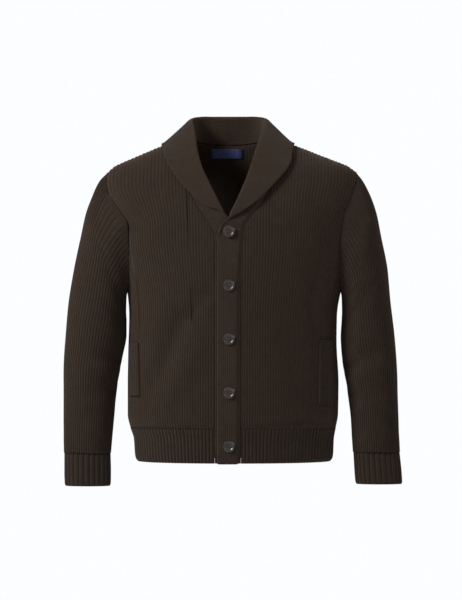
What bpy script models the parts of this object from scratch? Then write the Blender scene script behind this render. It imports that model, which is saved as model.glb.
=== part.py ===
"""Shawl collar cardigan, filled out as when worn, with no body inside.

The cloth is a knitted wall, open at the neck, hem and cuffs.  Lengths are in millimetres and
are turned to metres where a mesh is made.  X runs to the wearer's left, Y to the back, Z up.
The origin is the nape: the middle of the back neck seam.
"""

import math

import bmesh
import bpy
import numpy as np

TO_METRES = 0.001
WALL = 3.0              # thickness of the knitted wall
SEAM = 0.3              # gap between two pieces at a seam
SQUARENESS = 2.2        # exponent of the body's cross-section: 2 is an ellipse

HEM = -666.0            # bottom of the hem rib
PANEL_FOOT = -595.0     # where the panels meet the hem rib
UNDERARM = -310.0
SHOULDER_TIP = -60.0    # height of the armhole's top
NECK_POINT = 12.0       # height of the shoulder seam at the neck
NECK_HALF = 84.0        # half of the neck's width at the shoulder seams

BUTTON_X = 1.0
BUTTON_TOP = -187.5
BUTTON_PITCH = 110.4
BUTTON_COUNT = 5
BUTTON_RADIUS = 12.0
SHANK_RADIUS = 2.0
BUTTONHOLE = (5.2, 18.0)    # width across the band and length along it

PLACKET_LEFT = -23.0    # free edge of the band on top
UNDERLAP_RIGHT = 14.0   # free edge of the band beneath
TOP_LIFT = 2.6          # middle of the top band above the body's form
ROLL_RADIUS = 5.0       # radius of the collar's fold
LAPEL_RISE = 4.0        # the top button sits where the lapel starts to lift

LEFT, RIGHT = -1, 1     # the wearer's right is at -X, so LEFT is as seen from the front
FRONT, BACK = -1, 1


class Table:
    """Rows of named columns.  The first is the key, and `at` reads between rows smoothly."""

    def __init__(self, names, *rows):
        columns = np.array(rows, float).T
        self.key = columns[0]
        self.columns = dict(zip(names.split()[1:], columns[1:]))
        self.slopes = {name: self.slope(values) for name, values in self.columns.items()}

    def slope(self, values):
        """Slopes that never overshoot: zero at a turn, a harmonic mean elsewhere."""
        step = np.diff(self.key)
        rise = np.diff(values) / step
        slopes = np.concatenate([rise[:1], np.zeros(len(rise) - 1), rise[-1:]])
        for i in range(1, len(rise)):
            if rise[i - 1] * rise[i] > 0:
                before, after = 2 * step[i] + step[i - 1], step[i] + 2 * step[i - 1]
                slopes[i] = (before + after) / (before / rise[i - 1] + after / rise[i])
        return slopes

    def at(self, name, key):
        values, slopes = self.columns[name], self.slopes[name]
        key = np.clip(np.asarray(key, float), self.key[0], self.key[-1])
        i = np.clip(np.searchsorted(self.key, key) - 1, 0, len(self.key) - 2)
        step = self.key[i + 1] - self.key[i]
        t = (key - self.key[i]) / step
        return (
            (1 + 2 * t) * (1 - t) ** 2 * values[i]
            + t * (1 - t) ** 2 * step * slopes[i]
            + t * t * (3 - 2 * t) * values[i + 1]
            - t * t * (1 - t) * step * slopes[i + 1]
        )


# The body's outer surface, ring by ring.  Above the shoulder tip the sides are the shoulder line.
FORM = Table(
    "height left right side front back",
    (-666, -191, 214, -80, -185, 23),
    (-655, -195, 218, -80, -189, 26),
    (-618, -198, 220, -80, -193, 29),
    (-596, -205, 224, -79, -197, 31),
    (-568, -211, 229, -78, -201, 33),
    (-500, -211, 230, -78, -204, 33),
    (-417, -209, 226, -77, -205, 34),
    (-360, -208, 227, -76, -205, 36),
    (-310, -212, 235, -75, -205, 38),
    (-265, -222, 246, -75, -204, 39),
    (-223, -232, 255, -75, -202, 39),
    (-165, -246, 266, -75, -196, 36),
    (-120, -257, 275, -75, -184, 30),
    (-90, -260, 277, -75, -172, 22),
    (-61, -254, 268, -75, -158, 14),
    (-47, -238, 250, -75, -148, 10),
    (-30, -200, 206, -75, -136, 5),
    (-4, -138, 140, -75, -118, 1),
    (12, -84, 84, -75, -104, -7),
    (20, -40, 40, -75, -90, -16),
)

# Armhole seams, by height.
ARMHOLE = Table(
    "height left right",
    (-310, -212, 235),
    (-290, -208, 232),
    (-262, -206, 231),
    (-213, -207, 232),
    (-171, -209, 237),
    (-146, -223, 241),
    (-120, -241, 252),
    (-102, -252, 258),
    (-80, -256, 266),
    (-60, -253.5, 267.5),
)

# Seam between the fronts and the band: straight up the front, then the scooped neck.
BAND_SEAM = Table(
    "height left right",
    (-666, -29, 25.5),
    (-299, -29, 26),
    (-246, -29, 29),
    (-215, -29, 32),
    (-195, -31, 33),
    (-177, -37, 36),
    (-163, -46, 44),
    (-149, -56, 54),
    (-134, -66, 67),
    (-105, -81, 82),
    (-72, -88, 88),
    (-36, -88, 88),
    (12, -84, 84),
)

# Where the collar rolls and where its free edge lies.  The key runs up the front as the seam's
# height, and on past the shoulder seam as the way round the back neck.
COLLAR = {
    RIGHT: Table(
        "along roll_x roll_y roll_z edge_x edge_y edge_z",
        (-200, -17, -201.6, -198, -23, -201.4, -197),
        (-178, -8, -200.2, -172, -14, -200.4, -171),
        (-165, 3, -200, -150, 20, -204, -151),
        (-150, 14, -195, -131, 48, -198, -132),
        (-130, 26, -186, -104, 71, -190, -113),
        (-105, 38, -170, -76, 98, -176, -84),
        (-72, 51, -149, -37, 121, -159, -57),
        (-36, 64, -119, 2, 131, -140, -36),
        (-8, 74, -86, 31, 134, -115, -14),
        (12, 79, -52, 51, 138, -72, -3),
        (30, 66, -22, 58, 114, -16, -4),
        (54, 42, -10, 60, 66, 9, -12),
        (75, 21, -7, 60, 33, 14, -15),
        (96, 0, -6, 60, 0, 16, -17),
    ),
    LEFT: Table(
        "along roll_x roll_y roll_z edge_x edge_y edge_z",
        (-200, 9, -198, -197, 14, -198, -196),
        (-177, 2, -196, -168, 8, -196, -167),
        (-163, -8, -197, -149, -19, -199, -144),
        (-150, -17, -193, -134, -44, -194, -135),
        (-134, -25, -188, -118, -62, -189, -121),
        (-105, -40, -174, -88, -92, -176, -93),
        (-72, -56, -155, -53, -114, -160, -63),
        (-36, -67, -126, -12, -131, -139, -34),
        (-8, -73, -90, 24, -137, -114, -14),
        (12, -79, -53, 50, -141, -72, -3),
        (30, -66, -22, 58, -114, -16, -4),
        (54, -42, -10, 60, -66, 9, -12),
        (75, -21, -7, 60, -33, 14, -15),
        (96, 0, -6, 60, 0, 16, -17),
    ),
}

# Sleeves: the outer and inner point of each section, its half depth and its middle in Y.
SLEEVE = {
    LEFT: Table(
        "row outer_x outer_z inner_x inner_z depth middle",
        (0, -254, -60, -212.5, -310, 62, -76),
        (1, -272, -81, -216, -322, 64, -77),
        (2, -287, -114, -216, -337, 65, -78),
        (3, -299, -148, -216, -352, 65, -79),
        (4, -310, -198, -215, -375, 64, -80),
        (5, -324, -265, -215, -403, 62, -82),
        (6, -335, -333, -224, -450, 59, -84),
        (7, -341, -400, -231, -488, 55, -86),
        (8, -345, -470, -236, -525, 50, -88),
        (9, -345, -540, -240, -568, 45, -91),
        (10, -345, -600, -244, -612, 39, -94),
        (11, -344, -648, -247, -648, 30, -96),
    ),
    RIGHT: Table(
        "row outer_x outer_z inner_x inner_z depth middle",
        (0, 268, -60, 235.5, -310, 62, -76),
        (1, 283, -81, 239, -322, 64, -77),
        (2, 299, -114, 239, -337, 65, -78),
        (3, 310, -148, 239, -352, 65, -79),
        (4, 320, -198, 238, -375, 64, -80),
        (5, 333, -265, 236, -408, 62, -82),
        (6, 339, -333, 240, -460, 59, -84),
        (7, 347, -400, 247, -498, 55, -86),
        (8, 352, -470, 252, -536, 50, -88),
        (9, 354, -540, 257, -578, 45, -91),
        (10, 356, -600, 259, -616, 39, -94),
        (11, 358, -646, 261, -646, 30, -96),
    ),
}
CUFFS = {
    LEFT: Table(
        "height outer inner depth middle",
        (-717, -342, -247.5, 25, -98),
        (-690, -343, -247, 26, -97),
        (-648, -343, -248, 28, -96),
    ),
    RIGHT: Table(
        "height outer inner depth middle",
        (-713, 363, 266.5, 25, -98),
        (-690, 361.5, 264.5, 26, -97),
        (-646, 357, 262, 28, -96),
    ),
}

POCKETS = {
    LEFT: dict(outer=-205.0, inner=-184.0, top=-417.0, bottom=-528.0),
    RIGHT: dict(outer=215.0, inner=186.0, top=-412.0, bottom=-545.0),
}
LABEL = dict(left=-37.0, right=30.5, top=-6.5, bottom=-26.5)
LABEL_LIFT = 0.9        # clears the flat facets of the back neck

# Heights of the panels' rows at the side seam and armhole.
ROW_HEIGHTS = (
    -595, -540, -480, -420, -360, -310, -290, -262, -242,
    -227, -213, -198, -180, -158, -130, -102, -80, -67, -60,
)
ARM_HEIGHTS = [height for height in ROW_HEIGHTS if height >= UNDERARM]
ROWS = [(height - PANEL_FOOT) / (SHOULDER_TIP - PANEL_FOOT) for height in ROW_HEIGHTS]
HEM_ROWS = (-1.0, -0.7, -0.35, 0.0)
ACROSS = np.linspace(0, 1, 9)       # columns of half a body
NECK_ACROSS = np.sin(np.linspace(-0.5, 0.5, 9) * math.pi)   # columns between the neck points


def clear_scene():
    for obj in list(bpy.data.objects):
        bpy.data.objects.remove(obj, do_unlink=True)


def material(name, colour, roughness):
    made = bpy.data.materials.new(name)
    made.use_nodes = True
    shader = made.node_tree.nodes["Principled BSDF"]
    shader.inputs["Base Color"].default_value = (*colour, 1)
    shader.inputs["Roughness"].default_value = roughness
    made.diffuse_color = (*colour, 1)
    return made


def add_object(name, mesh, finish):
    mesh.materials.append(finish)
    mesh.shade_smooth()
    mesh.set_sharp_from_angle(angle=math.radians(40))
    made = bpy.data.objects.new(name, mesh)
    bpy.context.scene.collection.objects.link(made)
    return made


# ---------------------------------------------------------------- the body's form

def ring(height, face):
    """Middle, half width, side line and signed depth of the form at a height."""
    left, right = FORM.at("left", height), FORM.at("right", height)
    side = FORM.at("side", height)
    depth = FORM.at("front" if face == FRONT else "back", height) - side
    return (left + right) / 2, (right - left) / 2, side, depth


def form_point(angle, height, face):
    """A point of the outer surface: angle 0 is the middle of the face, a quarter turn its side."""
    middle, half, side, depth = ring(height, face)
    power = 2 / SQUARENESS
    x = middle + half * np.sign(angle) * np.abs(np.sin(angle)) ** power
    y = side + depth * np.clip(np.cos(angle), 0, 1) ** power
    return np.stack(np.broadcast_arrays(x, y, height), -1).astype(float)


def angle_at(x, height):
    middle, half, _, _ = ring(height, FRONT)
    share = np.clip((x - middle) / half, -1, 1)
    return np.sign(share) * np.arcsin(np.abs(share) ** (SQUARENESS / 2))


def level(points):
    """Below 1 inside the form, 1 on it and above 1 outside."""
    x, y, height = np.moveaxis(points, -1, 0)
    middle, half, side, front = ring(height, FRONT)
    back = FORM.at("back", height) - side
    depth = np.where(y < side, -front, back)
    return np.abs((x - middle) / half) ** SQUARENESS + np.abs((y - side) / depth) ** SQUARENESS


def slope_of_level(points, step=0.05):
    shifts = np.eye(3) * step
    return np.stack([(level(points + s) - level(points - s)) / (2 * step) for s in shifts], -1)


def unit(vectors):
    return vectors / np.maximum(np.linalg.norm(vectors, axis=-1, keepdims=True), 1e-9)


def form_normal(points):
    return unit(slope_of_level(points))


def keep_above(points, need):
    """Moves points out along the form's normal until they lie `need` above it."""
    slope = slope_of_level(points)
    size = np.maximum(np.linalg.norm(slope, axis=-1), 1e-9)
    above = (level(points) - 1) / size
    lift = np.where(points[..., 2] < NECK_POINT, np.maximum(need - above, 0), 0)
    return points + slope / size[..., None] * lift[..., None]


# ---------------------------------------------------------------- walls

def grid_normals(points):
    """Normals of a grid of points: across its columns, then up its rows."""
    return unit(np.cross(np.gradient(points, axis=1), np.gradient(points, axis=0)))


def tube_normals(points):
    """Normals of a grid of rings, away from the middle of each ring."""
    around = np.roll(points, -1, 1) - np.roll(points, 1, 1)
    normals = unit(np.cross(around, np.gradient(points, axis=0)))
    outward = points - points.mean(axis=1, keepdims=True)
    return normals * np.sign((normals * outward).sum())


def inset(points, left=0.0, right=0.0, bottom=0.0, top=0.0):
    """Draws the grid's edges in, along the cloth."""
    moved = points.copy()
    moved[:, 0] += unit(points[:, 1] - points[:, 0]) * left
    moved[:, -1] += unit(points[:, -2] - points[:, -1]) * right
    moved[0] += unit(moved[1] - moved[0]) * bottom
    moved[-1] += unit(moved[-2] - moved[-1]) * top
    return moved


def wall(name, outer, inner, finish, closed=False):
    """A closed wall between two grids of points of the same shape."""
    rows, columns = outer.shape[:2]
    made = bmesh.new()
    skins = [
        [[made.verts.new(point * TO_METRES) for point in row] for row in skin]
        for skin in (outer, inner)
    ]
    spans = columns if closed else columns - 1
    for j in range(rows - 1):
        for i in range(spans):
            k = (i + 1) % columns
            for skin in skins:
                made.faces.new((skin[j][i], skin[j][k], skin[j + 1][k], skin[j + 1][i]))
    rim_rows = [(j, i, j, (i + 1) % columns) for j in (0, rows - 1) for i in range(spans)]
    rim_columns = [(j, i, j + 1, i) for i in (0, columns - 1) for j in range(rows - 1)]
    for j, i, m, k in rim_rows + ([] if closed else rim_columns):
        made.faces.new((skins[0][j][i], skins[0][m][k], skins[1][m][k], skins[1][j][i]))
    bmesh.ops.recalc_face_normals(made, faces=made.faces)
    mesh = bpy.data.meshes.new(name)
    made.to_mesh(mesh)
    made.free()
    return add_object(name, mesh, finish)


def body_wall(name, points, finish):
    """A wall whose outer face is on the body's form."""
    return wall(name, points, points - form_normal(points) * WALL, finish)


# ---------------------------------------------------------------- panels and hem rib

def row_height(top, share):
    """Height of a row: 0 is the panel's foot, 1 its top and -1 the bottom of the hem rib."""
    return np.where(
        share >= 0, PANEL_FOOT + share * (top - PANEL_FOOT), PANEL_FOOT + share * (PANEL_FOOT - HEM)
    )


def side_name(side):
    return "left" if side == LEFT else "right"


def side_angle(side, height):
    """Angle of the side seam, or of the armhole above it."""
    if height <= UNDERARM:
        return side * math.pi / 2
    return float(angle_at(ARMHOLE.at(side_name(side), height), height))


def shoulder_height(side, across):
    """Height of the shoulder seam, from the neck point at 0 to the armhole at 1."""
    heights = np.linspace(NECK_POINT, SHOULDER_TIP, 60)
    out = np.abs(FORM.at(side_name(side), heights))
    return np.interp(NECK_HALF + across * (out[-1] - NECK_HALF), out, heights)


def half_row(side, face, share):
    """Angles and heights of one row of half a body, from the neck's line to the side."""
    neck = row_height(NECK_POINT, share)
    tip = row_height(SHOULDER_TIP, share)
    line = BAND_SEAM.at(side_name(side), neck) if face == FRONT else side * NECK_HALF
    start, end = float(angle_at(line, neck)), side_angle(side, tip)
    heights = row_height(shoulder_height(side, ACROSS), share)
    return start + (end - start) * ACROSS, heights


def front_points(side, shares):
    return np.array([form_point(*half_row(side, FRONT, share), FRONT) for share in shares])


def back_neck_height(x):
    return NECK_POINT * (x / NECK_HALF) ** 2


def back_points(shares):
    rows = []
    for share in shares:
        left = form_point(*half_row(LEFT, BACK, share), BACK)[::-1]
        right = form_point(*half_row(RIGHT, BACK, share), BACK)
        x = NECK_ACROSS[1:-1] * NECK_HALF
        heights = row_height(back_neck_height(x), share)
        middle = form_point(angle_at(x, heights), heights, BACK)
        rows.append(np.concatenate([left, middle, right]))
    return np.array(rows)


def build_body(knit, rib):
    gap = SEAM / 2
    for side in (LEFT, RIGHT):
        where = side_name(side)
        panel = inset(front_points(side, ROWS), left=gap, right=gap, bottom=gap, top=gap)
        body_wall(f"front_panel_{where}", panel, knit)
        hem = inset(front_points(side, HEM_ROWS), left=gap, right=gap, top=gap)
        body_wall(f"hem_rib_front_{where}", hem, rib)
    panel = inset(back_points(ROWS), left=gap, right=gap, bottom=gap, top=gap)
    body_wall("back_panel", panel, knit)
    hem = inset(back_points(HEM_ROWS), left=gap, right=gap, top=gap)
    body_wall("hem_rib_back", hem, rib)


# ---------------------------------------------------------------- sleeves and cuffs

def armhole_loop(side):
    """Points of the armhole from the underarm up the front and down the back, and their turn."""
    heights = ARM_HEIGHTS + ARM_HEIGHTS[-2:0:-1]
    faces = [FRONT] * len(ARM_HEIGHTS) + [BACK] * (len(ARM_HEIGHTS) - 2)
    points = np.array(
        [form_point(side_angle(side, h), h, face) for h, face in zip(heights, faces)]
    )
    up = 2 * (np.array(heights) - UNDERARM) / (SHOULDER_TIP - UNDERARM) - 1
    return points, up, np.array(faces) * np.sqrt(1 - up**2)


def sleeve_points(side):
    """Rings from the armhole to the cuff.  The armhole's own shape fades out down the cap."""
    table = SLEEVE[side]
    armhole, up, forward = armhole_loop(side)
    rings = []
    for row in table.key:
        outer = np.array([table.at("outer_x", row), 0, table.at("outer_z", row)])
        inner = np.array([table.at("inner_x", row), 0, table.at("inner_z", row)])
        middle = (outer + inner) / 2 + np.array([0, table.at("middle", row), 0])
        reach = (outer - inner) / 2
        depth = np.array([0, table.at("depth", row), 0])
        rings.append(middle + up[:, None] * reach + forward[:, None] * depth)
    fade = np.clip(1 - table.key / 3, 0, 1)[:, None, None]
    points = np.array(rings) + fade * (armhole - rings[0])
    points[0, :, 0] += side * 2.5 * SEAM
    return points


def cuff_points(side):
    table = CUFFS[side]
    _, up, forward = armhole_loop(side)
    rings = []
    for height in table.key[::-1]:
        outer, inner = table.at("outer", height), table.at("inner", height)
        x = (outer + inner) / 2 + up * (outer - inner) / 2
        y = table.at("middle", height) + forward * table.at("depth", height)
        rings.append(np.stack([x, y, np.full_like(x, height)], -1))
    return np.array(rings)


def build_sleeves(knit, rib):
    for side in (LEFT, RIGHT):
        where = side_name(side)
        sleeve = sleeve_points(side)
        inner = sleeve - tube_normals(sleeve) * WALL
        wall(f"sleeve_{where}", sleeve, inner, knit, closed=True)
        cuff = cuff_points(side)
        cuff[0, :, 2] -= SEAM
        wall(f"cuff_{where}", cuff, cuff - tube_normals(cuff) * WALL, rib, closed=True)


# ---------------------------------------------------------------- the band and collar

def seam_point(side, along):
    """Middle of the wall's edge at the neck, and the way on from it, off the panel."""
    if along <= NECK_POINT:
        x = float(BAND_SEAM.at(side_name(side), along))
        point = form_point(angle_at(x, along), along, FRONT)
        ahead = float(BAND_SEAM.at(side_name(side), along + 1))
        beyond = form_point(angle_at(ahead, along + 1), along + 1, FRONT)
    else:
        x = side * (NECK_HALF - (along - NECK_POINT))
        height = back_neck_height(x)
        point = form_point(angle_at(x, height), height, BACK)
        beyond = form_point(angle_at(x - side, back_neck_height(x - side)), back_neck_height(x - side), BACK)
    normal = form_normal(point)
    away = unit(np.cross(beyond - point, normal)) * -side
    return point - normal * WALL / 2, away


def belt(seam, roll, edge):
    """Across the collar: straight up to the roll, round it, and straight down to the edge."""
    stand, fall = seam - roll, edge - roll
    fall_length = np.linalg.norm(fall)
    bisector = unit(stand) + unit(fall)
    radius = min(ROLL_RADIUS, 0.3 * fall_length)
    if fall_length < 8 or np.linalg.norm(bisector) < 0.2:
        return seam + (edge - seam) * np.linspace(0, 1, 10)[:, None]
    top = -unit(bisector)
    over = unit(fall - top * fall.dot(top))
    centre = roll - top * radius
    turns = []
    for end, sign in ((seam, -1), (edge, 1)):
        away = end - centre
        turn = math.atan2(away.dot(over), away.dot(top))
        turns.append(turn - sign * math.acos(radius / np.linalg.norm(away)))
    arc = [
        centre + radius * (math.cos(t) * top + math.sin(t) * over)
        for t in np.linspace(turns[0], turns[1], 4)
    ]
    rise = [seam + (arc[0] - seam) * t for t in (0, 1 / 3, 2 / 3)]
    drop = [arc[-1] + (edge - arc[-1]) * t for t in (1 / 3, 2 / 3, 1)]
    return np.array(rise + arc + drop)


def band_row(side, along):
    """One row of the band, from its seam to its free edge."""
    seam, away = seam_point(side, along)
    table = COLLAR[side]
    rolled = along > table.key[0]
    read = max(along, table.key[0])
    roll = np.array([table.at(f"roll_{axis}", read) for axis in "xyz"]).astype(float)
    edge = np.array([table.at(f"edge_{axis}", read) for axis in "xyz"]).astype(float)
    if not rolled:
        edge = np.array([PLACKET_LEFT if side == RIGHT else UNDERLAP_RIGHT, 0, along])
        edge = form_point(angle_at(edge[0], along), along, FRONT)
    leave = unit((roll if rolled else edge) - seam)
    straight = max(0.0, leave.dot(away))
    at_neck_point = -20 < along < 30
    spare = 1.5 if at_neck_point else 0.3
    seam[2] += 2.5 if at_neck_point else 0.0
    seam = seam + away * (SEAM + spare + WALL / 2 * math.sqrt(max(0.0, 1 - straight**2)))
    row = belt(seam, roll, edge) if rolled else seam + (edge - seam) * np.linspace(0, 1, 10)[:, None]
    gone = np.linalg.norm(row - row[0], axis=1)
    if not rolled:
        row = form_point(angle_at(row[:, 0], row[:, 2]), row[:, 2], FRONT)
        lift = -WALL / 2 + (TOP_LIFT + WALL / 2) * np.clip((gone - 5) / 6.5, 0, 1) * (side == RIGHT)
        row = row + form_normal(row) * lift[:, None]
        row[0] = seam
        return row
    folded = np.arange(len(row)) >= 5
    if side == RIGHT:
        need = np.where(folded, 6.5 if along < 0 else 4.5, TOP_LIFT)
    else:
        need = np.where(folded, 2.6 if along < -20 else 4.5, -WALL / 2)
    need = -WALL / 2 + (need + WALL / 2) * np.clip((gone - 5) / 6.5, 0, 1)
    row[1:] = keep_above(row, need)[1:]
    return row


def band_points():
    front = [float(row_height(NECK_POINT, share)) for share in HEM_ROWS[:-1] + tuple(ROWS)]
    middle = len(NECK_ACROSS) // 2
    back = [NECK_POINT + NECK_HALF * (1 + x) for x in NECK_ACROSS[1:middle + 1]]
    right = [band_row(RIGHT, along) for along in front + back]
    left = [band_row(LEFT, along) for along in front + back[:-1]]
    return np.array(right + left[::-1])


def build_band(finish):
    points = band_points()
    normals = grid_normals(points)
    band = wall("shawl_band", points + normals * WALL / 2, points - normals * WALL / 2, finish)
    for number, height in enumerate(button_heights(), 1):
        cutter = slot_cutter(f"buttonhole_{number}", height)
        cut = band.modifiers.new(f"buttonhole_{number}", "BOOLEAN")
        cut.operation = "DIFFERENCE"
        cut.object = cutter


# ---------------------------------------------------------------- buttons

def button_heights():
    return [BUTTON_TOP - BUTTON_PITCH * number for number in range(BUTTON_COUNT)]


def front_surface(x, height):
    return form_point(angle_at(x, height), height, FRONT)


def slot_cutter(name, height):
    """A buttonhole: a slit along the band that only goes through the band on top."""
    centre = front_surface(BUTTON_X, height)
    made = bmesh.new()
    bmesh.ops.create_cube(made, size=1)
    depth = 10.0
    for vertex in made.verts:
        vertex.co.x = (vertex.co.x * BUTTONHOLE[0] + centre[0]) * TO_METRES
        vertex.co.y = (vertex.co.y * depth + centre[1] - depth / 2 - SEAM) * TO_METRES
        vertex.co.z = (vertex.co.z * BUTTONHOLE[1] + height) * TO_METRES
    mesh = bpy.data.meshes.new(name)
    made.to_mesh(mesh)
    made.free()
    cutter = bpy.data.objects.new(name, mesh)
    bpy.context.scene.collection.objects.link(cutter)
    cutter.hide_render = True
    cutter.display_type = "WIRE"
    return cutter


def build_button(number, height, finish):
    """A dished disc with a raised rim and four holes, on a thread shank through the buttonhole."""
    surface = front_surface(BUTTON_X, height)
    seat = TOP_LIFT + WALL / 2 + 3 * SEAM + (LAPEL_RISE if number == 1 else 0)
    profile = (                                  # radius, height above the form
        (0, seat + 2.0),
        (7.0, seat + 2.2),
        (8.8, seat + 3.4),
        (10.8, seat + 3.6),
        (BUTTON_RADIUS, seat + 2.4),
        (BUTTON_RADIUS - 0.8, seat + 0.6),
        (8.0, seat),
        (SHANK_RADIUS, seat),
        (SHANK_RADIUS, SEAM),
        (0, SEAM),
    )
    made = bmesh.new()
    line = [made.verts.new((radius, 0, up)) for radius, up in profile]
    edges = [made.edges.new(pair) for pair in zip(line, line[1:])]
    bmesh.ops.spin(
        made, geom=line + edges, cent=(0, 0, 0), axis=(0, 0, 1),
        angle=2 * math.pi, steps=20, use_merge=True,
    )
    bmesh.ops.remove_doubles(made, verts=made.verts, dist=0.001)
    bmesh.ops.recalc_face_normals(made, faces=made.faces)
    for vertex in made.verts:
        x, y, up = vertex.co
        vertex.co = (
            (surface[0] + x) * TO_METRES,
            (surface[1] - up) * TO_METRES,
            (height + y) * TO_METRES,
        )
    mesh = bpy.data.meshes.new(f"button_{number}")
    made.to_mesh(mesh)
    made.free()
    button = add_object(f"button_{number}", mesh, finish)
    for hole in range(4):
        turn = math.pi / 4 + hole * math.pi / 2
        cutter = hole_cutter(
            f"button_{number}_hole_{hole + 1}",
            (surface[0] + 3.5 * math.cos(turn), surface[1] - seat, height + 3.5 * math.sin(turn)),
        )
        cut = button.modifiers.new(f"hole_{hole + 1}", "BOOLEAN")
        cut.operation = "DIFFERENCE"
        cut.object = cutter


def hole_cutter(name, centre):
    made = bmesh.new()
    bmesh.ops.create_cone(
        made, cap_ends=True, segments=6, radius1=1.0, radius2=1.0, depth=12,
    )
    for vertex in made.verts:
        x, y, up = vertex.co
        vertex.co = (
            (centre[0] + x) * TO_METRES,
            (centre[1] + up) * TO_METRES,
            (centre[2] - y) * TO_METRES,
        )
    mesh = bpy.data.meshes.new(name)
    made.to_mesh(mesh)
    made.free()
    cutter = bpy.data.objects.new(name, mesh)
    bpy.context.scene.collection.objects.link(cutter)
    cutter.hide_render = True
    cutter.display_type = "WIRE"
    return cutter


# ---------------------------------------------------------------- welts and label

def patch(left, right, bottom, top, face, columns, rows):
    """Points of the form over a rectangle seen from the front."""
    heights = np.linspace(bottom, top, rows)[:, None]
    x = np.linspace(left, right, columns)[None, :]
    return form_point(angle_at(x, heights), heights + 0 * x, face)


def build_trims(rib, cloth):
    for side, pocket in POCKETS.items():
        points = patch(pocket["inner"], pocket["outer"], pocket["bottom"], pocket["top"], FRONT, 5, 6)
        normals = form_normal(points)
        low, high = 3 * SEAM, 3 * SEAM + 2.5
        wall(f"pocket_welt_{side_name(side)}", points + normals * high, points + normals * low, rib)
    points = patch(LABEL["left"], LABEL["right"], LABEL["bottom"], LABEL["top"], BACK, 5, 3)
    normals = form_normal(points)
    low, high = WALL + LABEL_LIFT, WALL + LABEL_LIFT + 1.0
    wall("neck_label", points - normals * low, points - normals * high, cloth)


def main():
    clear_scene()
    knit = material("knit_brown", (0.022, 0.014, 0.009), 0.95)
    rib = material("rib_brown", (0.020, 0.013, 0.009), 0.95)
    band = material("band_brown", (0.026, 0.017, 0.011), 0.95)
    horn = material("horn_brown", (0.035, 0.028, 0.022), 0.35)
    navy = material("label_navy", (0.045, 0.06, 0.2), 0.8)
    build_body(knit, rib)
    build_sleeves(knit, rib)
    build_band(band)
    for number, height in enumerate(button_heights(), 1):
        build_button(number, height, horn)
    build_trims(rib, navy)


main()
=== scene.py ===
# %% [markdown]
# # Shawl collar cardigan
# A ribbed cardigan, filled out as when worn and hollow inside.  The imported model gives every
# piece its place and size.  Here each knitted piece is made again with its ribs, folds and yarn.
# Lengths are in millimetres until a mesh is made.

# %% Load the frame
import math

import bpy
import numpy as np
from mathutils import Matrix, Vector


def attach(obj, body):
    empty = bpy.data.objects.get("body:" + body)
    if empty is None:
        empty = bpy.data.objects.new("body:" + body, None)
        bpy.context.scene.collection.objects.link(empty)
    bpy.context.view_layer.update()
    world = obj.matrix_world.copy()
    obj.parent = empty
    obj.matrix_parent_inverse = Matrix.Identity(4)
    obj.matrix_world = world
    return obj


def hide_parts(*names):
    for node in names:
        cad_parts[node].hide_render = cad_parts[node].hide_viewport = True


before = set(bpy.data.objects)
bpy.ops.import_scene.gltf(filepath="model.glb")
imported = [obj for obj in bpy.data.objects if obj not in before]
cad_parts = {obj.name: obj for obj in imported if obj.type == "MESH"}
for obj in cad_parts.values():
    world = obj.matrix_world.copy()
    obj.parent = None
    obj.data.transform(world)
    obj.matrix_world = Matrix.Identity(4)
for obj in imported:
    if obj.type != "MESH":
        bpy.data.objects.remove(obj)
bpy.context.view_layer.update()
bpy.ops.object.select_all(action="DESELECT")
TO_METRES = 0.001
LEFT, RIGHT, FRONT, BACK = -1, 1, -1, 1
print("nodes:", len(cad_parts))

# %% [markdown]
# ## Reading a short table
# A garment is described by few sizes: how wide and deep it is at some heights.  A smooth curve
# through them gives the sizes in between.  This curve never overshoots, so cloth doesn't bulge.


# %% A table of named columns
class Table:
    """Rows of named columns.  The first is the key, and `at` reads between rows smoothly."""

    def __init__(self, names, *rows):
        columns = np.array(rows, float).T
        self.key = columns[0]
        self.columns = dict(zip(names.split()[1:], columns[1:]))
        self.slopes = {name: self.slope(values) for name, values in self.columns.items()}

    def slope(self, values):
        step = np.diff(self.key)
        rise = np.diff(values) / step
        slopes = np.concatenate([rise[:1], np.zeros(len(rise) - 1), rise[-1:]])
        for i in range(1, len(rise)):
            if rise[i - 1] * rise[i] > 0:
                before, after = 2 * step[i] + step[i - 1], step[i] + 2 * step[i - 1]
                slopes[i] = (before + after) / (before / rise[i - 1] + after / rise[i])
        return slopes

    def at(self, name, key):
        values, slopes = self.columns[name], self.slopes[name]
        key = np.clip(np.asarray(key, float), self.key[0], self.key[-1])
        i = np.clip(np.searchsorted(self.key, key) - 1, 0, len(self.key) - 2)
        step = self.key[i + 1] - self.key[i]
        t = (key - self.key[i]) / step
        return (
            (1 + 2 * t) * (1 - t) ** 2 * values[i] + t * (1 - t) ** 2 * step * slopes[i]
            + t * t * (3 - 2 * t) * values[i + 1] - t * t * (1 - t) * step * slopes[i + 1]
        )


# %% The sizes of the cloth
WALL, SEAM, SQUARENESS = 3.0, 0.3, 2.2
HEM, PANEL_FOOT, UNDERARM, SHOULDER_TIP = -666.0, -595.0, -310.0, -60.0
NECK_POINT, NECK_HALF = 12.0, 84.0
PLACKET_LEFT, UNDERLAP_RIGHT, TOP_LIFT, ROLL_RADIUS = -23.0, 14.0, 2.6, 5.0
RIB, WIDE_RIB, BAND_RIB = 5.9, 8.6, 4.4                 # pitch of the ribs
RIB_HEIGHT, WIDE_RIB_HEIGHT, BAND_RIB_HEIGHT = 0.75, 1.15, 0.35
SKIN_IN, WIDE_SKIN_IN = WALL - 0.6, WALL - 0.7          # how far in the wall's other skin lies
PLUMP = 0.2                                             # yarn stands this far above the form

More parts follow.
